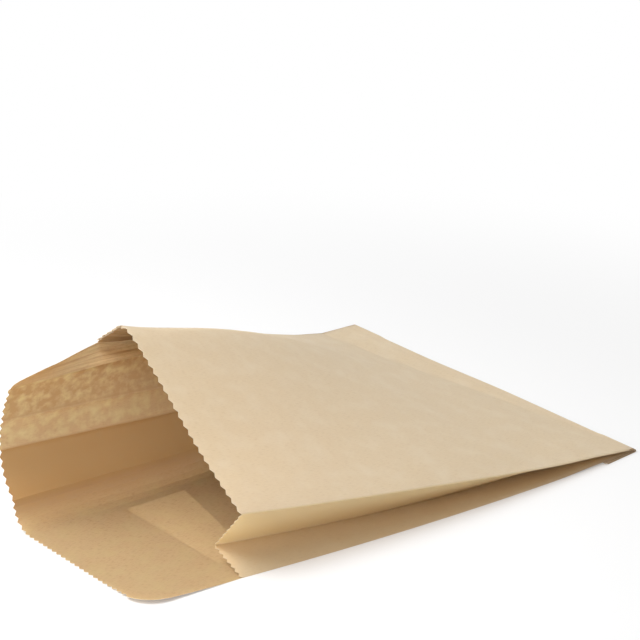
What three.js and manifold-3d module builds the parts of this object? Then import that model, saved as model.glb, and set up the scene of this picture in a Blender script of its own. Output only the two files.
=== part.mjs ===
// Brown paper sandwich bag with side gussets, lying on its back panel with the mouth open.
// Millimetres, +Z up. X runs along the bag from the mouth (-X) to the closed end (+X),
// Y runs across it, and the origin lies on the ground under the middle of the bag.
import * as THREE from "three";
import * as BufferGeometryUtils from "three/addons/utils/BufferGeometryUtils.js";
import Module from "manifold-3d";

// The sheet and its folds
const panelWidth = 175;
const gussetDepth = 18;
const frontLength = 187;
const lipLength = 42;
const lipCornerRadius = 11;
const paperThickness = 0.3;
const layerGap = 0.08;
const frontTeeth = 28;
const gussetTeeth = 14;
const lipTeeth = 48;
const toothDepth = 1;
const foldUnder = 18;

// How far the mouth stands open: places across the bag and up from the ground
const nearFoldHeight = 24.3;
const nearCreaseAcross = 16.5;
const nearCreaseHeight = 6.5;
const crownAcross = 71;
const crownHeight = 72.4;
const ridgeAcross = 90;
const ridgeHeight = 61.2;
const pleatAcross = 0.4;
const pleatUp = 0.8;
const wallFoot = 74.5;
const footRadius = 10.6;
const lipRidgeAcross = 72.5;
const lipRidgeHeight = 62.4;

// Creases of the curled wall: share of its height, and how far each stands out of its line
const wallCreases = [
  { share: 0.33, atMouth: 2.9, atLip: 12.2 },
  { share: 0.56, atMouth: 0.7, atLip: 13 },
  { share: 0.86, atMouth: -3.8, atLip: 9.5 },
];
const stripBows = [2, 0.7, 0.7, 0.5];

// Gentle shape of the paper between its folds
const nearSideBow = 3.6;
const nearCreaseSag = 2.6;
const crownSwell = 2.2;
const crownSwellPlace = 0.32;
const frontBow = 1.2;
const lipCornerLift = 2.2;
const endFold = 0.6;
const wallRunLength = 120;

// How finely the sheet is divided
const floorCells = 9;
const gussetCells = 3;
const frontCells = 20;
const tubeCells = 10;
const lipCells = 4;
const foldTuck = 1.2;

// Heights in the folded end, from the ground up
const halfPaper = paperThickness / 2;
const layerPitch = paperThickness + layerGap;
const flapTop = 2 * layerPitch - layerGap;
const backLayer = flapTop + halfPaper;
const frontLayer = backLayer + 3 * layerPitch;
const stackTop = frontLayer + halfPaper;
const bite = paperThickness / 3;

// The four panels, in the order in which they go round the bag
const [BACK, FAR_GUSSET, FRONT, NEAR_GUSSET] = [0, 1, 2, 3];
const PANELS = 4;

const at = (across, up) => new THREE.Vector2(across, up);
const mix = (from, to, share) => from.clone().lerp(to, share);
const rounded = (points) => new THREE.SplineCurve(points).getPoints(10 * points.length);

const sum = (values) => values.reduce((total, value) => total + value, 0);

// A section across the bag. Sections with the same shares keep the same paper at each crease.
class Outline {
  constructor(points, shares) {
    const steps = points.slice(1).map((point, i) => point.distanceTo(points[i]));
    this.points = points;
    this.length = sum(steps);
    this.shares = shares ?? points.map((_, i) => sum(steps.slice(0, i)) / this.length);
  }

  // Point at a share of the way along the section
  point(share) {
    const last = this.points.length - 1;
    const inner = this.shares.slice(1, last).findIndex((end) => share <= end);
    const i = inner < 0 ? last : inner + 1;
    const start = this.shares[i - 1];
    return mix(this.points[i - 1], this.points[i], (share - start) / (this.shares[i] - start));
  }
}

// The middle of a strip of the curled wall, which stands out between its two creases
function bowed(from, to, bow) {
  const run = to.clone().sub(from).normalize();
  return mix(from, to, 0.5).add(at(run.y, -run.x).multiplyScalar(bow));
}

// Back panel across the bag: flat on the ground, then curled up in creased strips
function backOutline(top, place) {
  const ground = at(wallFoot, halfPaper);
  const foot = at(wallFoot + footRadius, halfPaper + footRadius);
  const bends = footTurns.map((turn) => at(
    wallFoot + footRadius * Math.sin(turn),
    halfPaper + footRadius * (1 - Math.cos(turn)),
  ));
  const creases = wallCreases.map((crease) => mix(foot, top, crease.share).add(at(crease[place], 0)));
  const edges = [foot, ...creases, top];
  const strips = stripBows.flatMap((bow, i) => [bowed(edges[i], edges[i + 1], bow), edges[i + 1]]);
  return [nearBackFold, at(foldTuck, halfPaper), ground, ...bends, foot, ...strips];
}

// Places of the folds in the plane of the mouth
const footTurns = [Math.PI / 6, Math.PI / 3];
const nearBackFold = at(0, halfPaper + layerPitch / 2);
const nearCrease = at(nearCreaseAcross, nearCreaseHeight);
const nearFrontFold = at(0, nearFoldHeight);
const crown = at(crownAcross, crownHeight);
const farBackFold = at(ridgeAcross, ridgeHeight);
const farFrontFold = at(ridgeAcross + pleatAcross, ridgeHeight + pleatUp);
const shoulder = mix(farFrontFold, crown, 0.5).add(at(0, frontBow));

// Front panel across the mouth, from the far fold over the crown to the near fold
function frontOutline() {
  const slope = mix(nearFrontFold, crown, 0.75).add(at(0, frontBow));
  const foot = mix(nearFrontFold, crown, 0.35).sub(at(0, frontBow));
  return rounded([farFrontFold, shoulder, crown, slope, foot, nearFrontFold]);
}

// The near gusset's V, whose foot lies one layer above the back panel
function nearGussetOutline() {
  const tucked = at(foldTuck, halfPaper + layerPitch);
  const points = [nearFrontFold, nearCrease, tucked, nearBackFold];
  return new Outline(points, [0, 0.5, 1 - foldTuck / (2 * gussetDepth), 1]);
}

const mouthBack = new Outline(backOutline(farBackFold, "atMouth"));
const mouthFront = new Outline(frontOutline());
const lipBack = new Outline(backOutline(at(lipRidgeAcross, lipRidgeHeight), "atLip"), mouthBack.shares);
const crownShare = new Outline(rounded([farFrontFold, shoulder, crown])).length / mouthFront.length;
const openOutlines = {
  [BACK]: mouthBack,
  [FRONT]: mouthFront,
  [NEAR_GUSSET]: nearGussetOutline(),
};

// The near gusset pressed flat: in along one layer, round its crease and out along the next
function flatNearGusset() {
  const height = (layer) => backLayer + layer * layerPitch;
  const turn = gussetDepth - foldTuck;
  return [
    at(0, height(2.5)),
    at(foldTuck, height(2)),
    at(turn, height(2)),
    at(gussetDepth, height(1.5)),
    at(turn, height(1)),
    at(foldTuck, height(1)),
    at(0, height(0.5)),
  ];
}

// The front panel pressed flat: high over the gussets and low between them
function flatFront() {
  const side = gussetDepth + panelWidth / frontCells;
  const ramp = side + 4 * foldTuck;
  const low = backLayer + layerPitch;
  const half = [at(0, frontLayer - layerPitch / 2), at(foldTuck, frontLayer), at(side, frontLayer), at(ramp, low)];
  const mirrored = half.map((point) => at(panelWidth - point.x, point.y));
  return [...mirrored, ...half.reverse()];
}

function flatBack() {
  const side = backLayer + layerPitch / 2;
  return [
    at(0, side),
    at(foldTuck, backLayer),
    at(panelWidth - foldTuck, backLayer),
    at(panelWidth, side),
  ];
}

const flatOutlines = {
  [BACK]: new Outline(flatBack()),
  [FRONT]: new Outline(flatFront()),
  [NEAR_GUSSET]: new Outline(flatNearGusset()),
};

// Layers of paper between the front panel and the far gusset, by share of the gusset's width
const gussetTuck = foldTuck / (2 * gussetDepth);
const pleatLayers = new Outline(
  [2, 2, 1, 1, 0].map((count) => at(count, 0)),
  [0, 0.5 - gussetTuck, 0.5 + gussetTuck, 1 - gussetTuck, 1],
);

// Smooth step from 0 to 1 between two distances
function ease(x, start, end) {
  return THREE.MathUtils.smoothstep(x, start, end);
}

// Rises smoothly from 0 at 0 to 1 at its place, and sinks back to 0 at 1
function hump(value, place) {
  const steepness = (2 * (1 - place)) / place;
  return (value / place) ** 2 * ((1 - value) / (1 - place)) ** steepness;
}

// Turns the curled wall, just inside the mouth, into the direction that it has on the lip
function wallRun(share) {
  const [floorEnd, foot] = [2, 5].map((i) => mouthBack.shares[i]);
  const lastCrease = mouthBack.shares[mouthBack.shares.length - 3];
  const mouth = mouthBack.point(share);
  const onLip = mouth.clone().sub(lipBack.point(share)).divideScalar(lipLength);
  const inTube = flatOutlines[BACK].point(share).sub(mouth).divideScalar(frontLength);
  return onLip.sub(inTube).multiplyScalar(ease(share, floorEnd, foot) * (1 - ease(share, lastCrease, 1)));
}

// Place of the middle of the paper, by share of a panel's width and distance from the mouth
function panelPoint(panel, share, x) {
  const open = openOutlines[panel].point(share);
  const flat = flatOutlines[panel].point(share);
  const along = Math.min(1, x / (frontLength - (foldUnder * flat.x) / panelWidth));
  const swell = 4 * along * (1 - along);
  const point = mix(open, flat, along);
  const lifted = ease(x, frontLength - 2.5 * foldUnder, frontLength - foldUnder);
  point.y += crownSwell * hump(along, crownSwellPlace) * (open.y / crownHeight) ** 2;
  point.y -= flapTop * (along - lifted);
  point.x -= nearSideBow * swell * Math.max(0, 1 - point.x / panelWidth);
  if (panel === BACK) point.addScaledVector(wallRun(share), x * Math.max(0, 1 - x / wallRunLength) ** 2);
  if (panel === NEAR_GUSSET) sagNearCrease(point, share, swell, lifted);
  return point;
}

// The far gusset lies folded flat against the underside of the front panel
function farGussetPoint(share, x) {
  const tucked = 1 - Math.abs(2 * share - 1);
  const along = Math.min(1, x / (frontLength - foldUnder));
  const reach = THREE.MathUtils.lerp(crownShare, gussetDepth / panelWidth, along);
  const gap = panelPoint(FRONT, 0, x).sub(panelPoint(BACK, 1, x)).divideScalar(2);
  return panelPoint(FRONT, tucked * reach, x).addScaledVector(gap, -pleatLayers.point(share).x);
}

function tubePoint(loop, x) {
  const panel = Math.floor(loop) % PANELS;
  const share = loop - Math.floor(loop);
  return panel === FAR_GUSSET ? farGussetPoint(share, x) : panelPoint(panel, share, x);
}

// The near gusset's crease sinks towards the back panel, but never into it
function sagNearCrease(point, share, swell, lifted) {
  const nearness = 1 - Math.abs(2 * share - 1);
  const lowest = halfPaper + flapTop * lifted + layerPitch * (1 + nearness / 2);
  const sunk = point.y - nearCreaseSag * swell * nearness;
  point.y = Math.max(sunk, Math.min(point.y, lowest));
}

// The same for the lip of the back panel, which stands out past the mouth
function lipPoint(share, x) {
  const out = -x / lipLength;
  const point = mix(mouthBack.point(share), lipBack.point(share), out);
  const corner = Math.max(0, 1 - point.x / (3 * lipCornerRadius));
  point.y += lipCornerLift * (out * corner) ** 2;
  return point;
}

function sheetPoint(loop, x) {
  if (x >= 0) return tubePoint((loop + PANELS) % PANELS, x);
  return lipPoint(THREE.MathUtils.clamp(loop, 0, 1), x);
}

// A vertex of the sheet's middle, with the direction that points out of the bag
function sheetVertex(loop, x, toothX = x) {
  const reach = 0.3 / panelWidth;
  const place = sheetPoint(loop, x);
  const run = sheetPoint(loop + reach, x).sub(sheetPoint(loop - reach, x)).normalize();
  return { loop, x: toothX, across: place.x, up: place.y, outAcross: run.y, outUp: -run.x };
}

// Shares of a panel's width at which its columns stand, with a pair tucked in at each fold
function columnShares(cells, width) {
  const tuck = foldTuck / width;
  const inner = Array.from({ length: cells + 1 }, (_, i) => tuck + ((1 - 2 * tuck) * i) / cells);
  return [0, ...inner];
}

// The back panel's columns stand at its creases, and between them on the ground
function backShares() {
  const [fold, tuck, ground, ...rest] = mouthBack.shares;
  const floor = Array.from({ length: floorCells }, (_, i) => tuck + ((ground - tuck) * i) / floorCells);
  return [fold, ...floor, ground, ...rest.slice(0, -1), 1 - foldTuck / panelWidth];
}

function panelColumns(panel) {
  if (panel === BACK) return backShares();
  if (panel === FRONT) return columnShares(frontCells, panelWidth);
  const half = columnShares(gussetCells, gussetDepth).map((share) => share / 2);
  return [...half, ...half.map((share) => share + 0.5)];
}

const columns = [BACK, FAR_GUSSET, FRONT, NEAR_GUSSET].flatMap((panel) =>
  panelColumns(panel).map((share) => panel + share)
);
const backColumns = [...columns.filter((loop) => loop < FAR_GUSSET), FAR_GUSSET];

// Shares of a cut edge at which the tips and roots of its teeth stand
function toothShares(teeth) {
  return Array.from({ length: 2 * teeth }, (_, i) => i / (2 * teeth));
}

// The cut edge round the mouth: plain where the lip goes on, toothed along the other panels
function mouthRow() {
  const row = backColumns.slice(0, -1).map((loop) => sheetVertex(loop, 0));
  [FAR_GUSSET, FRONT, NEAR_GUSSET].forEach((panel) => {
    toothShares(panel === FRONT ? frontTeeth : gussetTeeth).forEach((share, i) => {
      row.push(sheetVertex(panel + share, 0, i % 2 ? -toothDepth : 0));
    });
  });
  return row;
}

// The cut edge of the lip, with its teeth between two rounded corners
function lipEdgeRow() {
  return [...toothShares(lipTeeth), 1].map((share, i) => {
    const fromSide = Math.min(share, 1 - share) * lipBack.length;
    const inset = Math.max(0, lipCornerRadius - fromSide);
    const corner = lipCornerRadius - Math.sqrt(lipCornerRadius ** 2 - inset ** 2);
    const root = inset > 0 || i % 2 ? 0 : toothDepth;
    return sheetVertex(share, -lipLength + corner + root);
  });
}

// Collects the vertices and triangles of the sheet's middle surface
class Sheet {
  vertices = [];
  triangles = [];

  addRow(vertices) {
    return vertices.map((vertex) => {
      this.vertices.push(vertex);
      return { loop: vertex.loop, id: this.vertices.length - 1 };
    });
  }

  closed(row) {
    return [...row, { loop: PANELS, id: row[0].id }];
  }

  // Joins two rows that may have different numbers of points
  join(rowA, rowB) {
    let a = 0;
    let b = 0;
    while (a < rowA.length - 1 || b < rowB.length - 1) {
      const nextA = a < rowA.length - 1 ? rowA[a + 1].loop : Infinity;
      const nextB = b < rowB.length - 1 ? rowB[b + 1].loop : Infinity;
      const moveA = nextA <= nextB;
      const third = moveA ? rowA[a + 1].id : rowB[b + 1].id;
      this.addTriangle(rowA[a].id, third, rowB[b].id);
      if (moveA) a += 1;
      else b += 1;
    }
  }

  addTriangle(a, b, c) {
    if (a !== b && b !== c && c !== a) this.triangles.push([a, b, c]);
  }

  // Directed edges that only one triangle uses
  openEdges() {
    const key = (a, b) => `${a}_${b}`;
    const edges = this.triangles.flatMap(([a, b, c]) => [[a, b], [b, c], [c, a]]);
    const used = new Set(edges.map(([a, b]) => key(a, b)));
    return edges.filter(([a, b]) => !used.has(key(b, a)));
  }
}

// Distances from the mouth at which the rows of the tube stand
function tubeStations() {
  const first = 4 * toothDepth;
  const last = frontLength - 2.5 * foldUnder;
  const even = Array.from({ length: tubeCells + 1 }, (_, i) => first + ((last - first) * i) / tubeCells);
  return [...even, frontLength - 1.75 * foldUnder, frontLength - foldUnder, frontLength];
}

function buildTube(sheet) {
  const mouthEdge = sheet.addRow(mouthRow());
  let previous = mouthEdge;
  tubeStations().forEach((x) => {
    const row = sheet.addRow(columns.map((loop) => sheetVertex(loop, x)));
    sheet.join(sheet.closed(previous), sheet.closed(row));
    previous = row;
  });
  return { mouthEdge, endRow: previous };
}

function buildLip(sheet, mouthEdge) {
  const straight = lipLength - lipCornerRadius;
  let previous = mouthEdge.slice(0, backColumns.length);
  for (let i = 1; i <= lipCells; i += 1) {
    const x = (-straight * i) / lipCells;
    const row = sheet.addRow(backColumns.map((loop) => sheetVertex(loop, x)));
    sheet.join(row, previous);
    previous = row;
  }
  const edge = sheet.addRow(lipEdgeRow().slice(1, -1));
  sheet.join([previous[0], ...edge, previous[previous.length - 1]], previous);
}

// Gives the sheet its thickness and closes its cut edges and its far end
function solidSheet() {
  const sheet = new Sheet();
  const { mouthEdge, endRow } = buildTube(sheet);
  buildLip(sheet, mouthEdge);
  const endIds = new Set(endRow.map((point) => point.id));
  const count = sheet.vertices.length;
  const inside = (id) => id + count;
  const outer = sheet.triangles;
  const inner = outer.map(([a, b, c]) => [inside(a), inside(c), inside(b)]);
  const walls = sheet.openEdges()
    .filter(([a, b]) => !(endIds.has(a) && endIds.has(b)))
    .flatMap(([a, b]) => [[b, a, inside(a)], [b, inside(a), inside(b)]]);
  const positions = [
    ...sheet.vertices.map((vertex) => facePoint(vertex, halfPaper, 0)),
    ...sheet.vertices.map((vertex, id) => facePoint(vertex, -halfPaper, endIds.has(id) ? paperThickness : 0)),
  ];
  const caps = endCaps(endRow, positions, inside);
  return meshGeometry(positions, [...outer, ...inner, ...walls, ...caps]);
}

function facePoint(vertex, offset, setBack) {
  return [
    vertex.x - setBack,
    vertex.across + offset * vertex.outAcross,
    vertex.up + offset * vertex.outUp,
  ];
}

function endCaps(endRow, positions, inside) {
  const cap = (ids) => {
    const contour = ids.map((id) => at(positions[id][1], positions[id][2]));
    return THREE.ShapeUtils.triangulateShape(contour, []).map((face) => face.map((k) => ids[k]));
  };
  const outerIds = endRow.map((point) => point.id);
  const innerIds = outerIds.map(inside);
  return [...cap(outerIds), ...cap(innerIds).map(([a, b, c]) => [a, c, b])];
}

function meshGeometry(positions, triangles) {
  const geometry = new THREE.BufferGeometry();
  geometry.setAttribute("position", new THREE.Float32BufferAttribute(positions.flat(), 3));
  geometry.setIndex(triangles.flat());
  return geometry;
}

// The glued end turned under the bag, with its round fold
function foldedFlap() {
  const profile = new THREE.Shape();
  profile.moveTo(frontLength - foldUnder, 0);
  profile.lineTo(frontLength, 0);
  profile.absellipse(frontLength, stackTop / 2, endFold, stackTop / 2, -Math.PI / 2, Math.PI / 2, false, 0);
  profile.lineTo(frontLength - bite, stackTop);
  profile.lineTo(frontLength - bite, flapTop + bite);
  profile.lineTo(frontLength - foldUnder, flapTop + bite);
  profile.closePath();
  const solid = new THREE.ExtrudeGeometry(profile, { depth: panelWidth, bevelEnabled: false, curveSegments: 6 });
  return solid.rotateX(Math.PI / 2).translate(0, panelWidth, 0);
}

const wasm = await Module();
wasm.setup();

function toManifold(geometry) {
  const bare = geometry.clone();
  bare.deleteAttribute("normal");
  bare.deleteAttribute("uv");
  const merged = BufferGeometryUtils.mergeVertices(bare, 1e-5);
  return new wasm.Manifold(new wasm.Mesh({
    numProp: 3,
    vertProperties: Float32Array.from(merged.attributes.position.array),
    triVerts: Uint32Array.from(merged.index.array),
  }));
}

function fromManifold(solid) {
  const { vertProperties, triVerts } = solid.getMesh();
  const geometry = new THREE.BufferGeometry();
  geometry.setAttribute("position", new THREE.BufferAttribute(vertProperties, 3));
  geometry.setIndex(new THREE.BufferAttribute(triVerts, 1));
  return geometry.toNonIndexed();
}

// Moves the middle of the bag's box over the origin
function centred(geometry) {
  geometry.computeBoundingBox();
  const middle = geometry.boundingBox.getCenter(new THREE.Vector3());
  geometry.translate(-middle.x, -middle.y, -geometry.boundingBox.min.z);
  geometry.computeVertexNormals();
  return geometry;
}

const paper = new THREE.MeshStandardMaterial({ color: 0xdcc4a0, roughness: 0.85, metalness: 0 });
const bag = fromManifold(toManifold(solidSheet()).add(toManifold(foldedFlap())));
const paperBag = new THREE.Mesh(centred(bag), paper);
paperBag.name = "paper_bag";

const group = new THREE.Group();
group.add(paperBag);
export default group;
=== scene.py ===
import math

import bpy
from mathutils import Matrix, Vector, noise


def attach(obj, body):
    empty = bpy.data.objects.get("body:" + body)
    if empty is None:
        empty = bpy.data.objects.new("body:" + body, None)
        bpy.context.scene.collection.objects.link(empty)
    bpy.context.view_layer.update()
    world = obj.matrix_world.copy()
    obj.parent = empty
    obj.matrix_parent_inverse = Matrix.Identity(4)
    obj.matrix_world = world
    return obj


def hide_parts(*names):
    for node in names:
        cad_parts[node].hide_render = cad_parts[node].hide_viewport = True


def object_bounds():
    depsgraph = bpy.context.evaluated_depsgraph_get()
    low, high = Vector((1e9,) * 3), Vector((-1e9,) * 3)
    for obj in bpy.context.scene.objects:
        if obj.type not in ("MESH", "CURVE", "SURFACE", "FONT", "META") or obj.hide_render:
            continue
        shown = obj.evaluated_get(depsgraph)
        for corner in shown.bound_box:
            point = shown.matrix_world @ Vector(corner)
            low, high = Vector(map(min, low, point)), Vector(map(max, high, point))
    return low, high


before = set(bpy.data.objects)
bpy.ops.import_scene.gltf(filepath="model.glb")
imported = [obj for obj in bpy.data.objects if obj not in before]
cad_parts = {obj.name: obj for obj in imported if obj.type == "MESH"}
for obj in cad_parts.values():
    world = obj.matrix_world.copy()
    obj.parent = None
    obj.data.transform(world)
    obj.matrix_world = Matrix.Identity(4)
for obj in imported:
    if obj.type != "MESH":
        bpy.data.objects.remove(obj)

# Brown paper sandwich bag with side gussets, lying on its back panel with the mouth open.
# The paper is one sheet. Its sizes are millimetres, measured from the near corner of the mouth:
# x along the bag to the closed end, y across it to the curled side, z up from the ground.
cad_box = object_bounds()
MM = 0.001

# The sheet and its folds
PANEL_WIDTH = 175
GUSSET_DEPTH = 18
FRONT_LENGTH = 187
LIP_LENGTH = 42
LIP_CORNER_RADIUS = 11
FOLD_UNDER = 18
SOLID_PAPER = 0.3
PAPER = 0.1
LAYER_PITCH = 0.13
END_LAYERS = 4

# Zigzag cut: teeth along a panel's edge, for a gusset along half of it, and how far they stand out
FRONT_TEETH = 28
GUSSET_TEETH = 7
LIP_TEETH = 48
TOOTH_DEPTH = 1

# How far the mouth stands open: places across the bag and up from the ground
NEAR_FOLD_HEIGHT = 24.3
NEAR_CREASE_ACROSS = 16.5
NEAR_CREASE_HEIGHT = 6.5
CROWN_ACROSS = 71
CROWN_HEIGHT = 72.4
RIDGE_ACROSS = 90
RIDGE_HEIGHT = 61.2
PLEAT_ACROSS = 0.35
PLEAT_UP = 0.7
WALL_FOOT = 74.5
FOOT_RADIUS = 10.6
LIP_RIDGE_ACROSS = 72.5
LIP_RIDGE_HEIGHT = 62.4

# Creases of the curled wall: share of its height, and how far each stands out of its line
WALL_CREASES = (
    {"share": 0.33, "mouth": 2.9, "lip": 12.2},
    {"share": 0.56, "mouth": 0.7, "lip": 13},
    {"share": 0.86, "mouth": -3.8, "lip": 9.5},
)

# Gentle shape of the paper between its folds
NEAR_SIDE_BOW = 3.6
NEAR_CREASE_SAG = 2.6
NEAR_CREASE_DRIFT = 3.4
NEAR_CREASE_DRIFT_PLACE = 0.75
CROWN_SWELL = 3.6
CROWN_SWELL_PLACE = 0.42
FRONT_BOW = 1.2
LIP_CORNER_LIFT = 2.2
STRIP_BOWS = (2, 0.7, 0.7, 0.5)
CREASE_MARKS = (0.1, 0.55, 0.35, 0.5, 0)
CREASE_MARK_WIDTH = 1.5
END_SKEW = 1.8
FLAP_SKEW = 2.8
WALL_RUN_LENGTH = 120
BULGE_LENGTH = 120

# Waves of the paper: length along the bag and across it, then height
WIDE_WAVE = (42, 38)
FINE_WAVE = (13, 11)
PUCKER_WAVE = (7, 6)
CRUMPLE_WAVE = (26, 2.2)
CRUMPLE_DRIFT_WAVE = (20, 9)
FRONT_WAVE_HEIGHT = 0.6
GUSSET_WAVE_HEIGHT = 0.3
FLOOR_WAVE_HEIGHT = 0.2
FINE_WAVE_HEIGHT = 0.12
PUCKER_HEIGHT = 0.28
CRUMPLE_HEIGHT = 0.5
CRUMPLE_DRIFT = 3

# The waves start over a stretch behind the mouth and die out before the closed end
WAVE_START_LENGTH = 20
CALM_START = 120
CALM_END = 170

# Low ridge across the front panel, where the turned end begins
END_RIDGE_HEIGHT = 0.12
END_RIDGE_INSET = 5
END_RIDGE_WIDTH = 1.2

# Heights in the folded end, where the layers turn under round one line
TURN_HEIGHT = (END_LAYERS + 0.5) * LAYER_PITCH
END_LIFT = TURN_HEIGHT + LAYER_PITCH / 2
HALF_PAPER = PAPER / 2

# How finely the sheet is divided: four columns to a tooth
COLUMNS_PER_TOOTH = 4
LIP_CELLS = COLUMNS_PER_TOOTH * LIP_TEETH
GUSSET_CELLS = COLUMNS_PER_TOOTH * GUSSET_TEETH * 2
FRONT_CELLS = COLUMNS_PER_TOOTH * FRONT_TEETH
BACK, FAR_GUSSET, FRONT, NEAR_GUSSET = range(4)
PANEL_CELLS = (LIP_CELLS, GUSSET_CELLS, FRONT_CELLS, GUSSET_CELLS)

# Rows of the sheet: closer behind the mouth, near the closed end and round its turn
CLOSE_STEP = 1.5
CLOSE_ROWS = 20
WIDE_STEP = 2.9
WIDE_ROWS = 50
END_ROWS = 10
TURN_STEP = 0.4
FLAP_ROWS = 5
LIP_ROWS = 16
LIP_END_ROWS = 6


def at(across, up):
    return Vector((across, up))


def smooth(value, start, end):
    """Smooth step from 0 at start to 1 at end."""
    share = min(1, max(0, (value - start) / (end - start)))
    return share * share * (3 - 2 * share)


class Outline:
    """A section across the bag. Two outlines with the same shares keep the same paper at each crease."""

    def __init__(self, points, shares=None):
        self.points = points
        lengths = [(b - a).length for a, b in zip(points, points[1:])]
        self.length = sum(lengths)
        self.shares = shares or [sum(lengths[:i]) / self.length for i in range(len(points))]

    def point(self, share):
        last = len(self.points) - 1
        i = next((k for k in range(1, last) if share <= self.shares[k]), last)
        start, end = self.shares[i - 1], self.shares[i]
        return self.points[i - 1].lerp(self.points[i], (share - start) / (end - start))


def back_outline(top, place):
    """Back panel: flat on the ground, round at the foot of its curled side, then creased strips."""
    centre = at(WALL_FOOT, HALF_PAPER + FOOT_RADIUS)
    turns = [math.radians(angle) for angle in range(0, 91, 15)]
    arc = [centre + FOOT_RADIUS * at(math.sin(turn), -math.cos(turn)) for turn in turns]
    foot = arc[-1]
    creases = [foot.lerp(top, crease["share"]) + at(crease[place], 0) for crease in WALL_CREASES]
    return [at(0, HALF_PAPER), *arc, *creases, top]


def rounded(points, steps=10):
    """Catmull-Rom curve through the points."""
    ends = [points[0], *points, points[-1]]
    curve = []
    for a, b, c, d in zip(ends, ends[1:], ends[2:], ends[3:]):
        for k in range(steps):
            t = k / steps
            bend = 2 * b + (c - a) * t + (2 * a - 5 * b + 4 * c - d) * t**2 + (3 * b - a - 3 * c + d) * t**3
            curve.append(bend / 2)
    return [*curve, points[-1]]


near_back_fold = at(0, HALF_PAPER)
near_crease = at(NEAR_CREASE_ACROSS, NEAR_CREASE_HEIGHT)
near_front_fold = at(0, NEAR_FOLD_HEIGHT)
crown = at(CROWN_ACROSS, CROWN_HEIGHT)
far_back_fold = at(RIDGE_ACROSS, RIDGE_HEIGHT)
far_front_fold = far_back_fold + at(PLEAT_ACROSS, PLEAT_UP)
shoulder = far_front_fold.lerp(crown, 0.5) + at(0, FRONT_BOW)


def front_outline():
    slope = near_front_fold.lerp(crown, 0.75) + at(0, FRONT_BOW)
    foot = near_front_fold.lerp(crown, 0.35) - at(0, FRONT_BOW)
    return rounded([far_front_fold, shoulder, crown, slope, foot, near_front_fold])


mouth_back = Outline(back_outline(far_back_fold, "mouth"))
mouth_back.shares = [round(share * LIP_CELLS) / LIP_CELLS for share in mouth_back.shares]
lip_back = Outline(back_outline(at(LIP_RIDGE_ACROSS, LIP_RIDGE_HEIGHT), "lip"), mouth_back.shares)
mouth_front = Outline(front_outline())
mouth_outlines = {
    BACK: mouth_back,
    FRONT: mouth_front,
    NEAR_GUSSET: Outline([near_front_fold, near_crease, near_back_fold], [0, 0.5, 1]),
}
crown_share = Outline(rounded([far_front_fold, shoulder, crown])).length / mouth_front.length


def layer(number):
    """Height of a layer above the line round which the end is turned, counted from the back panel."""
    return (number + 0.5) * LAYER_PITCH


def flat_outlines():
    """The four panels pressed flat, as heights above the turning line."""
    near, far = GUSSET_DEPTH, PANEL_WIDTH - GUSSET_DEPTH
    ramp = 4
    front = [
        at(PANEL_WIDTH, layer(3)), at(far, layer(3)), at(far - ramp, layer(1)),
        at(near + ramp, layer(1)), at(near, layer(3)), at(0, layer(3)),
    ]
    return {
        BACK: Outline([at(0, layer(0)), at(PANEL_WIDTH, layer(0))]),
        FRONT: Outline(front),
        NEAR_GUSSET: Outline([at(0, layer(3)), at(near, layer(1.5)), at(0, layer(0))]),
    }


pressed_outlines = flat_outlines()


def hump(value, place):
    """Rises smoothly from 0 at 0 to 1 at its place, and sinks back to 0 at 1."""
    steepness = 2 * (1 - place) / place
    return (value / place) ** 2 * ((1 - value) / (1 - place)) ** steepness


def wall_run(share):
    """What turns the curled wall, just inside the mouth, into the direction that it has on the lip."""
    on_wall = smooth(share, mouth_back.shares[1], mouth_back.shares[-5])
    below_ridge = 1 - smooth(share, mouth_back.shares[-2], 1)
    mouth = mouth_back.point(share)
    on_lip = (mouth - lip_back.point(share)) / LIP_LENGTH
    in_tube = (pressed_outlines[BACK].point(share) - mouth) / FRONT_LENGTH
    return (on_lip - in_tube) * on_wall * below_ridge


# How many layers of paper the far gusset lies below the front panel, by share of its width
PLEAT_LAYERS = Outline(
    [at(3, 0), at(2, 0), at(2, 0), at(1, 0), at(1, 0), at(0, 0)], [0, 0.08, 0.46, 0.54, 0.92, 1]
)


def far_gusset_point(share, x):
    """The far gusset lies folded flat against the underside of the front panel."""
    tucked = 1 - abs(2 * share - 1)
    along = min(1, x / (FRONT_LENGTH - FOLD_UNDER))
    reach = crown_share + (GUSSET_DEPTH / PANEL_WIDTH - crown_share) * along
    gap = (tube_point(FRONT, 0, x) - tube_point(BACK, 1, x)) / 3
    return tube_point(FRONT, tucked * reach, x) - gap * PLEAT_LAYERS.point(share).x


def wave(size, x, across, seed):
    """Smooth noise between -1 and 1, with waves of a length along the bag and one across it."""
    return noise.noise(Vector((x / size[0], across / size[1], seed)))


def front_wave(x, across):
    """Slow waves of the front panel, which the gusset folded under it follows."""
    wide, fine = wave(WIDE_WAVE, x, across, 5.7), wave(FINE_WAVE, x, across, 10.1)
    height = FRONT_WAVE_HEIGHT * wide + FINE_WAVE_HEIGHT * fine
    return height * smooth(x, 0, WAVE_START_LENGTH) * (1 - smooth(x, CALM_START, CALM_END))


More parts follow.
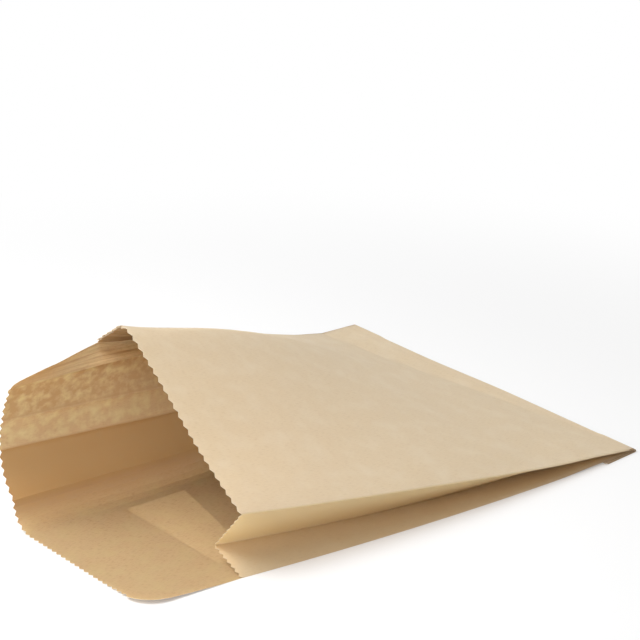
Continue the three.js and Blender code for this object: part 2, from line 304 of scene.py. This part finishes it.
def tube_point(panel, share, x):
    """Middle of the paper inside the mouth: opened wide there, pressed flat at the closed end."""
    if panel == FAR_GUSSET:
        return far_gusset_point(share, x)
    flat = pressed_outlines[panel].point(share).copy()
    flat.y += HALF_PAPER - layer(0)
    along = min(1, x / (FRONT_LENGTH - FOLD_UNDER * flat.x / PANEL_WIDTH))
    swell = 4 * along * (1 - along)
    point = mouth_outlines[panel].point(share).lerp(flat, along)
    raised = (mouth_outlines[panel].point(share).y / CROWN_HEIGHT) ** 2
    point.y += CROWN_SWELL * hump(along, CROWN_SWELL_PLACE) * raised
    if panel == FRONT:
        point.y += front_wave(x, point.x) * smooth(share, 0, 0.08) * smooth(share, 1, 0.95)
    if panel == BACK:
        point += wall_run(share) * x * max(0, 1 - x / WALL_RUN_LENGTH) ** 2
    point.x -= NEAR_SIDE_BOW * swell * max(0, 1 - point.x / PANEL_WIDTH)
    if panel == NEAR_GUSSET:
        nearness = 1 - abs(2 * share - 1)
        point.x -= NEAR_CREASE_DRIFT * nearness * hump(along, NEAR_CREASE_DRIFT_PLACE)
        lowest = HALF_PAPER + LAYER_PITCH * (1 + nearness)
        point.y = max(point.y - NEAR_CREASE_SAG * swell * nearness, min(point.y, lowest))
    point.y += END_LIFT * smooth(x, FRONT_LENGTH - 2.5 * FOLD_UNDER, FRONT_LENGTH - FOLD_UNDER)
    skew = END_SKEW * along**2 * smooth(point.x, 0.4 * PANEL_WIDTH, 0.75 * PANEL_WIDTH)
    return Vector((x - skew, point.x, point.y))


def turned_point(panel, share, past):
    """Past the fold line the pressed stack turns round and runs back under the bag."""
    end = tube_point(panel, share, FRONT_LENGTH)
    radius = end.z - TURN_HEIGHT
    half_turn = math.pi * radius
    across = end.y - FLAP_SKEW * past / FOLD_UNDER
    if past < half_turn:
        angle = past / radius
        return Vector((end.x + radius * math.sin(angle), across, TURN_HEIGHT + radius * math.cos(angle)))
    return Vector((end.x - (past - half_turn), across, TURN_HEIGHT - radius))


def lip_point(share, x):
    """Middle of the paper of the back panel where it stands out past the mouth."""
    out = -x / LIP_LENGTH
    point = mouth_back.point(share).lerp(lip_back.point(share), out)
    corner = max(0, 1 - point.x / (3 * LIP_CORNER_RADIUS))
    point.y += LIP_CORNER_LIFT * (out * corner) ** 2
    return Vector((x, point.x, point.y))


def tooth(column):
    """How far a column stands towards a tooth's tip: 0 in the root, 1 at the tip."""
    phase = 2 * math.pi * column / COLUMNS_PER_TOOTH
    return 0.5 - 0.5 * math.cos(phase)


def lip_end(column):
    """Where the lip is cut: toothed, and round at its two corners."""
    width = lip_back.length
    share = column / LIP_CELLS
    inset = max(0, LIP_CORNER_RADIUS - min(share, 1 - share) * width)
    corner = LIP_CORNER_RADIUS - math.sqrt(LIP_CORNER_RADIUS**2 - inset**2)
    root = 0 if inset else TOOTH_DEPTH * (1 - tooth(column))
    return corner + root - LIP_LENGTH


class Grid:
    """Vertices of the sheet's middle with what the paper's pattern needs at each of them."""

    def __init__(self):
        self.points = []
        self.around = []
        self.along = []
        self.faces = []

    def add(self, point, panel, share, x):
        self.points.append(point)
        self.around.append((panel, share))
        self.along.append(x)
        return len(self.points) - 1

    def join(self, low_row, high_row):
        """Faces between two rows, the first nearer to the lip, that look out of the bag."""
        for j in range(len(low_row) - 1):
            self.faces.append((low_row[j], low_row[j + 1], high_row[j + 1], high_row[j]))


def loop_columns():
    return [(panel, k / cells) for panel, cells in enumerate(PANEL_CELLS) for k in range(cells)]


def tube_stations():
    """Distances from the mouth at which rows stand, closer where the paper is creased."""
    close = [CLOSE_STEP * k for k in range(1, CLOSE_ROWS + 1)]
    wide = [CLOSE_STEP * CLOSE_ROWS + WIDE_STEP * k for k in range(1, WIDE_ROWS + 1)]
    fold = [FRONT_LENGTH - END_ROWS + k for k in range(END_ROWS + 1)]
    return close + wide + fold


def flap_stations():
    """Distances past the fold line at which rows stand: close round the turn, wider on the flap."""
    turn = TURN_STEP * FLAP_ROWS
    close = [TURN_STEP * k for k in range(1, FLAP_ROWS + 1)]
    wide = [turn + (FOLD_UNDER - turn) * k / FLAP_ROWS for k in range(1, FLAP_ROWS + 1)]
    return close + wide


def build_sheet():
    grid = Grid()
    columns = loop_columns()
    mouth_row = []
    for panel, share in columns:
        cut = 0 if panel == BACK else -TOOTH_DEPTH * tooth(round(share * PANEL_CELLS[panel]))
        point = tube_point(panel, share, 0)
        mouth_row.append(grid.add(Vector((cut, point.y, point.z)), panel, share, cut))
    previous = mouth_row + mouth_row[:1]
    for x in tube_stations():
        row = [grid.add(tube_point(panel, share, x), panel, share, x) for panel, share in columns]
        previous = join_closed(grid, previous, row)
    for past in flap_stations():
        row = [
            grid.add(turned_point(panel, share, past), panel, share, FRONT_LENGTH + past)
            for panel, share in columns
        ]
        previous = join_closed(grid, previous, row)
    build_lip(grid, mouth_row[:LIP_CELLS + 1])
    return grid


def join_closed(grid, previous, row):
    closed = row + row[:1]
    grid.join(previous, closed)
    return closed


def build_lip(grid, mouth_row):
    straight = LIP_LENGTH - 1.25 * LIP_CORNER_RADIUS
    previous = mouth_row
    for i in range(1, LIP_ROWS + 1):
        x = -straight * i / LIP_ROWS
        row = [grid.add(lip_point(k / LIP_CELLS, x), BACK, k / LIP_CELLS, x) for k in range(LIP_CELLS + 1)]
        grid.join(row, previous)
        previous = row
    for i in range(1, LIP_END_ROWS + 1):
        row = []
        for k in range(LIP_CELLS + 1):
            x = -straight + (lip_end(k) + straight) * i / LIP_END_ROWS
            row.append(grid.add(lip_point(k / LIP_CELLS, x), BACK, k / LIP_CELLS, x))
        grid.join(row, previous)
        previous = row


def wall_strip(share):
    """Number of the curled wall's strip, counted up from its foot, and the place across it."""
    creases = mouth_back.shares[-5:]
    for i in range(4):
        if creases[i] <= share <= creases[i + 1]:
            return i + 1, (share - creases[i]) / (creases[i + 1] - creases[i])
    return 0, 0


def crumple_and_wrinkle_shade(panel, share, x):
    """How crumpled the paper is, which also sets the painted shade of darker lines along its wrinkles: most
    at the mouth in the top strip and the far gusset.
    """
    fade = smooth(x, -38, -20) * (1 - smooth(x, 10, 60))
    if panel == FAR_GUSSET:
        return fade * (1 - smooth(share, 0.45, 0.55))
    strip, place = wall_strip(share) if panel == BACK else (0, 0)
    return fade * smooth(place, 0, 0.12) if strip == 4 else 0


def patches(panel, share, x):
    """How mottled the paper is: the two middle strips of the curled wall."""
    strip, place = wall_strip(share) if panel == BACK else (0, 0)
    if strip not in (2, 3):
        return 0
    return smooth(place, 0, 0.15) * (1 - smooth(x, 0, 60))


# Painted shade: how far each strip of the curled wall is tinted darker and warmer in place of shade and
# bounce light, by strip: the floor first, the strip at the ridge last
STRIP_PAINTED_SHADE = (0.05, 1, 0.5, 0.84, 0.6)


def painted_shade(panel, share, x):
    """How much painted shade the paper gets, a darker, warmer tint in place of shade and bounce light: most
    in the wall's lowest strip and the near gusset's upper half.
    """
    if panel == NEAR_GUSSET:
        return 1 - 0.6 * smooth(share, 0.4, 0.6)
    if panel != BACK:
        return 0
    strip, _ = wall_strip(share)
    if strip == 0:
        foot_start, foot_end = mouth_back.shares[1], mouth_back.shares[7]
        rise = smooth(share, foot_start, foot_end)
        return STRIP_PAINTED_SHADE[0] + (STRIP_PAINTED_SHADE[1] - STRIP_PAINTED_SHADE[0]) * rise
    return STRIP_PAINTED_SHADE[strip] * (1 - smooth(x, -35, 0) if strip == 4 else 1)


def ripple(panel, share, x, point):
    """Small waves of the paper, outwards from its smooth shape."""
    if panel == FRONT:
        return END_RIDGE_HEIGHT * math.exp(-((x - FRONT_LENGTH + END_RIDGE_INSET) / END_RIDGE_WIDTH) ** 2)
    if panel == FAR_GUSSET:
        return -crumple_and_wrinkle_shade(panel, share, x) * abs(crumple(share * 2 * GUSSET_DEPTH, x))
    wide, fine = wave(WIDE_WAVE, x, point.y, 3.7 + panel), wave(FINE_WAVE, x, point.y, 8.1 + panel)
    if panel == NEAR_GUSSET:
        inside = 1 - abs(2 * (2 * share % 1) - 1)
        height = GUSSET_WAVE_HEIGHT * wide + FINE_WAVE_HEIGHT * fine
        return height * inside * (1 - smooth(x, CALM_START, CALM_END))
    strip, place = wall_strip(share)
    if strip == 0:
        return min(0, FLOOR_WAVE_HEIGHT * wide - FLOOR_WAVE_HEIGHT / 2) * smooth(-x, 0, WAVE_START_LENGTH)
    strip_width = PANEL_WIDTH * (mouth_back.shares[-5 + strip] - mouth_back.shares[-6 + strip])
    below = CREASE_MARKS[strip - 1] * (1 - smooth(place * strip_width, 0, CREASE_MARK_WIDTH))
    above = CREASE_MARKS[strip] * (1 - smooth((1 - place) * strip_width, 0, CREASE_MARK_WIDTH))
    mark = below + above
    bulge = (STRIP_BOWS[strip - 1] * math.sin(math.pi * place) - mark) * (1 - smooth(x, 0, BULGE_LENGTH))
    pucker = PUCKER_HEIGHT * wave(PUCKER_WAVE, x, share * PANEL_WIDTH, 5.2)
    swell = bulge + pucker * patches(panel, share, x)
    return swell + crumple_and_wrinkle_shade(panel, share, x) * crumple((share - 1) * PANEL_WIDTH, x)


def crumple(across, x):
    """Narrow wrinkles that run along the bag."""
    drift = CRUMPLE_DRIFT * wave(CRUMPLE_DRIFT_WAVE, x, across, 1.4)
    return CRUMPLE_HEIGHT * wave(CRUMPLE_WAVE, x, across + drift, 6.6)


def row_place(point):
    """From the sheet's own millimetres to metres in the frame of the model."""
    low, high = cad_box
    x = low.x + (point.x + LIP_LENGTH) * MM
    y = high.y + (point.y - PANEL_WIDTH - SOLID_PAPER / 2) * MM
    return Vector((x, y, point.z * MM))


def add_attribute(mesh, name, values):
    attribute = mesh.attributes.new(name, "FLOAT", "POINT")
    attribute.data.foreach_set("value", values)


def paper_sheet(grid, materials):
    mesh = bpy.data.meshes.new("paper_sheet")
    mesh.from_pydata([row_place(point) for point in grid.points], [], grid.faces)
    normals = [vertex.normal.copy() for vertex in mesh.vertices]
    for vertex, normal, (panel, share), x, point in zip(
        mesh.vertices, normals, grid.around, grid.along, grid.points
    ):
        vertex.co += normal * ripple(panel, share, x, point) * MM
    # Also the mask of the painted wrinkle shade: darker lines drawn along the crumpled paper
    add_attribute(mesh, "crumple_and_wrinkle_shade", [crumple_and_wrinkle_shade(*place, x) for place, x in zip(grid.around, grid.along)])
    add_attribute(mesh, "patches", [patches(*place, x) for place, x in zip(grid.around, grid.along)])
    # Painted shade: where the paper is tinted darker and warmer in place of shade and bounce light in the bag
    add_attribute(mesh, "painted_shade", [painted_shade(*place, x) for place, x in zip(grid.around, grid.along)])
    unwrap(mesh, grid)
    for material in materials:
        mesh.materials.append(material)
    sheet = bpy.data.objects.new("paper_sheet", mesh)
    bpy.context.collection.objects.link(sheet)
    return sheet


def unwrap(mesh, grid):
    """UV map of the sheet laid flat, in millimetres: u round the bag, v along it."""
    starts = (0, PANEL_WIDTH, PANEL_WIDTH + 2 * GUSSET_DEPTH, 2 * PANEL_WIDTH + 2 * GUSSET_DEPTH)
    widths = (PANEL_WIDTH, 2 * GUSSET_DEPTH, PANEL_WIDTH, 2 * GUSSET_DEPTH)
    layer_uv = mesh.uv_layers.new(name="sheet_mm")
    for polygon in mesh.polygons:
        corners = [mesh.loops[i].vertex_index for i in polygon.loop_indices]
        panel = min(grid.around[v][0] for v in corners)
        wraps = max(grid.around[v][0] for v in corners) - panel > 1
        for i, v in zip(polygon.loop_indices, corners):
            own, share = grid.around[v]
            u = starts[own] + share * widths[own]
            if wraps and own == BACK:
                u = starts[NEAR_GUSSET] + widths[NEAR_GUSSET]
            layer_uv.data[i].uv = (u, grid.along[v])


def thicken(sheet):
    """Gives the sheet the thickness of real paper, with its own surface on each face and on the cut edge."""
    bpy.ops.object.select_all(action="DESELECT")
    sheet.select_set(True)
    bpy.context.view_layer.objects.active = sheet
    solid = sheet.modifiers.new("thickness", "SOLIDIFY")
    solid.thickness = PAPER * MM
    solid.offset = 0
    solid.use_even_offset = False
    solid.use_rim = True
    solid.material_offset = 1
    solid.material_offset_rim = 2
    bpy.ops.object.modifier_apply(modifier=solid.name)
    bpy.ops.object.shade_smooth_by_angle(angle=math.radians(14))


def linear(value):
    return value / 12.92 if value <= 0.04045 else ((value + 0.055) / 1.055) ** 2.4


def colour(code):
    """Linear colour from an sRGB hex value such as dcc4a0."""
    return (*(linear(int(code[i:i + 2], 16) / 255) for i in (0, 2, 4)), 1)


def node(tree, kind, settings=None, links=None):
    """Adds a node, sets its values and links its inputs to other nodes' outputs."""
    new = tree.nodes.new(kind)
    for name, value in (settings or {}).items():
        if name in new.inputs:
            new.inputs[name].default_value = value
        else:
            setattr(new, name, value)
    for name, output in (links or {}).items():
        tree.links.new(output, new.inputs[name])
    return new


def new_material(name):
    material = bpy.data.materials.new(name)
    material.use_nodes = True
    material.node_tree.nodes.clear()
    return material, material.node_tree


FIBRE_WIDTH = 0.45
FIBRE_LENGTH = 2.2
CLOUD_SIZE = 11
PATCH_SIZE = 4.5
STREAK_WIDTH = 1.2
STREAK_LENGTH = 34


def speckle(tree, uv, width, length, detail):
    """Noise drawn over the flat sheet, with grains of a size in millimetres."""
    mapping = node(tree, "ShaderNodeMapping", {"Scale": (1 / width, 1 / length, 1)}, {"Vector": uv})
    texture = node(
        tree, "ShaderNodeTexNoise", {"Scale": 1, "Detail": detail, "Roughness": 0.55},
        {"Vector": mapping.outputs["Vector"]},
    )
    return texture.outputs["Fac"]


def toned(tree, start, tint, amount, mask):
    """Mixes a tint into a colour where a mask is high."""
    share = node(tree, "ShaderNodeMath", {"operation": "MULTIPLY", "use_clamp": True}, {0: mask})
    share.inputs[1].default_value = amount
    mix = node(tree, "ShaderNodeMix", {"data_type": "RGBA"})
    tree.links.new(share.outputs[0], mix.inputs[0])
    tree.links.new(start, mix.inputs[6])
    mix.inputs[7].default_value = tint
    return mix.outputs[2]


def brown_paper(name, base, pale, fibres_and_wrinkle_shade, painted_shade_tint):
    """Uncoated machine-finished brown paper: matt, finely speckled by its fibres, softly cloudy; its tints
    also add painted shade, a darker, warmer tone deep in the bag and darker lines along crumpled wrinkles.
    """
    material, tree = new_material(name)
    uv = node(tree, "ShaderNodeUVMap", {"uv_map": "sheet_mm"}).outputs["UV"]
    fibres = speckle(tree, uv, FIBRE_WIDTH, FIBRE_LENGTH, 3)
    clouds = speckle(tree, uv, CLOUD_SIZE, CLOUD_SIZE, 2)
    start = node(tree, "ShaderNodeRGB")
    start.outputs[0].default_value = base
    shade = toned(tree, start.outputs[0], fibres_and_wrinkle_shade, 0.5, contrast(tree, fibres, 0.5, 0.75))
    shade = toned(tree, shade, pale, 0.5, contrast(tree, clouds, 0.45, 0.75))
    # Painted shade: a darker, warmer tint where the sheet's shade mask is high, standing in for shade and
    # bounce light
    painted_shade_mask = node(tree, "ShaderNodeAttribute", {"attribute_name": "painted_shade"}).outputs["Fac"]
    shade = toned(tree, shade, painted_shade_tint, 1, painted_shade_mask)
    blotches = speckle(tree, uv, PATCH_SIZE, PATCH_SIZE, 3)
    shade = toned(tree, shade, pale, 0.7, masked(tree, "patches", blotches))
    # Painted shade: darker lines along the crumpled wrinkles, where the sheet's crumple mask is high; the
    # same dark tint also gives the fibres their real speckle
    lines = speckle(tree, uv, STREAK_WIDTH, STREAK_LENGTH, 2)
    shade = toned(tree, shade, fibres_and_wrinkle_shade, 0.7, masked(tree, "crumple_and_wrinkle_shade", lines))
    surface = node(
        tree, "ShaderNodeBsdfPrincipled",
        {
            "Roughness": 0.66, "IOR": 1.5, "Specular IOR Level": 0.35,
            "Subsurface Weight": 0.5, "Subsurface Scale": 0.001, "Subsurface Radius": (1, 0.9, 0.75),
        },
        {"Base Color": shade},
    )
    bump = node(tree, "ShaderNodeBump", {"Strength": 0.15, "Distance": 0.00004}, {"Height": fibres})
    tree.links.new(bump.outputs["Normal"], surface.inputs["Normal"])
    node(tree, "ShaderNodeOutputMaterial", {}, {"Surface": surface.outputs["BSDF"]})
    return material


def contrast(tree, value, low, high):
    """Stretches the part of a pattern between two levels to the range from 0 to 1."""
    steps = {"From Min": low, "From Max": high, "clamp": True}
    return node(tree, "ShaderNodeMapRange", steps, {"Value": value}).outputs["Result"]


def masked(tree, name, pattern):
    """A pattern that shows only where an attribute of the sheet is high."""
    mask = node(tree, "ShaderNodeAttribute", {"attribute_name": name}).outputs["Fac"]
    shape = contrast(tree, pattern, 0.42, 0.68)
    return node(tree, "ShaderNodeMath", {"operation": "MULTIPLY"}, {0: shape, 1: mask}).outputs[0]


def cut_paper(name, base):
    """Cut edge of the paper: paler and rougher, because the torn fibres stand open."""
    material, tree = new_material(name)
    surface = node(tree, "ShaderNodeBsdfPrincipled", {"Base Color": base, "Roughness": 0.85})
    node(tree, "ShaderNodeOutputMaterial", {}, {"Surface": surface.outputs["BSDF"]})
    return material


# The last tint of each paper is painted shade, not a colour that the paper itself has
outside_paper = brown_paper(
    "smooth_side_brown_paper",
    base=colour("e7c9a3"), pale=colour("edd4b2"), fibres_and_wrinkle_shade=colour("d3b086"), painted_shade_tint=colour("dcbc8a"),
)
inside_paper = brown_paper(
    "rough_side_brown_paper",
    base=colour("caa579"), pale=colour("ccb07c"), fibres_and_wrinkle_shade=colour("976834"), painted_shade_tint=colour("9a6d37"),
)
edge_paper = cut_paper("cut_paper_edge", colour("e8d8bc"))

sheet = paper_sheet(build_sheet(), [outside_paper, inside_paper, edge_paper])
thicken(sheet)
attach(sheet, "root")
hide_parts("paper_bag")

# Camera at the photograph's place, in the sheet's own millimetres
CAMERA_PLACE = Vector((-528.1, -742.1, 434.6))
CAMERA_TURN = 37.137
CAMERA_PITCH = 20.374
CAMERA_LENS = 161.16
SENSOR = 36

# Floor: its width, and the ring round the bag over which it turns white, in metres
FLOOR_WIDTH = 8
FADE_START = 0.13
FADE_END = 0.35
LEAST_WHITE = 0.2

# Room light, and lamps: name, place, point aimed at, width in metres and power in watts
ROOM_LEVEL = 0.48
LAMPS = (
    ("soft_top_light", (-0.45, 0.2, 0.7), (-0.03, 0, 0), 0.7, 3.9),
    ("soft_mouth_light", (-0.25, 0, 0.45), (-0.05, 0, 0.06), 0.5, 0.9),
    ("soft_side_light", (-1.05, -0.55, 0.26), (-0.05, 0.05, 0.03), 1.3, 5.2),
)


def add_camera():
    data = bpy.data.cameras.new("camera")
    data.lens = CAMERA_LENS
    data.sensor_width = SENSOR
    data.clip_end = 20
    camera = bpy.data.objects.new("camera", data)
    camera.location = row_place(CAMERA_PLACE)
    camera.rotation_euler = (math.radians(90 - CAMERA_PITCH), 0, math.radians(-CAMERA_TURN))
    bpy.context.collection.objects.link(camera)
    bpy.context.scene.camera = camera


def add_floor():
    """White floor that shows white to the camera and keeps the bag's soft shadow."""
    bpy.ops.mesh.primitive_plane_add(size=FLOOR_WIDTH)
    floor = bpy.context.object
    floor.name = "floor"
    material, tree = new_material("white_floor")
    matt = node(tree, "ShaderNodeBsdfDiffuse", {"Color": colour("f8f8f8")})
    glow = node(tree, "ShaderNodeEmission", {"Color": (1, 1, 1, 1), "Strength": 1})
    path = node(tree, "ShaderNodeLightPath")
    seen = node(
        tree, "ShaderNodeMath", {"operation": "MULTIPLY"}, {0: path.outputs["Is Camera Ray"]}
    )
    place = node(tree, "ShaderNodeTexCoord").outputs["Object"]
    distance = node(tree, "ShaderNodeVectorMath", {"operation": "LENGTH"}, {0: place}).outputs["Value"]
    ramp = {
        "From Min": FADE_START, "From Max": FADE_END, "To Min": LEAST_WHITE, "To Max": 1.0,
        "interpolation_type": "SMOOTHSTEP",
    }
    fade = node(tree, "ShaderNodeMapRange", ramp, {"Value": distance}).outputs["Result"]
    tree.links.new(fade, seen.inputs[1])
    mix = node(tree, "ShaderNodeMixShader", {}, {0: seen.outputs[0], 1: matt.outputs[0], 2: glow.outputs[0]})
    node(tree, "ShaderNodeOutputMaterial", {}, {"Surface": mix.outputs[0]})
    floor.data.materials.append(material)


def add_light(name, place, aim, size, power):
    data = bpy.data.lights.new(name, "AREA")
    data.shape = "DISK"
    data.size = size
    data.energy = power
    light = bpy.data.objects.new(name, data)
    light.location = place
    light.rotation_euler = (Vector(aim) - Vector(place)).to_track_quat("-Z", "Y").to_euler()
    bpy.context.collection.objects.link(light)


def add_world(level):
    world = bpy.data.worlds.new("studio")
    world.use_nodes = True
    tree = world.node_tree
    tree.nodes.clear()
    room = node(tree, "ShaderNodeBackground", {"Color": (1, 1, 1, 1), "Strength": level})
    white = node(tree, "ShaderNodeBackground", {"Color": (1, 1, 1, 1), "Strength": 1})
    path = node(tree, "ShaderNodeLightPath")
    seen = node(
        tree, "ShaderNodeMath", {"operation": "MAXIMUM"},
        {0: path.outputs["Is Camera Ray"], 1: path.outputs["Is Glossy Ray"]},
    )
    mix = node(tree, "ShaderNodeMixShader", {}, {0: seen.outputs[0], 1: room.outputs[0], 2: white.outputs[0]})
    node(tree, "ShaderNodeOutputWorld", {}, {"Surface": mix.outputs[0]})
    bpy.context.scene.world = world


add_camera()
add_floor()
add_world(ROOM_LEVEL)
for lamp in LAMPS:
    add_light(*lamp)
bpy.context.scene.view_settings.view_transform = "Standard"
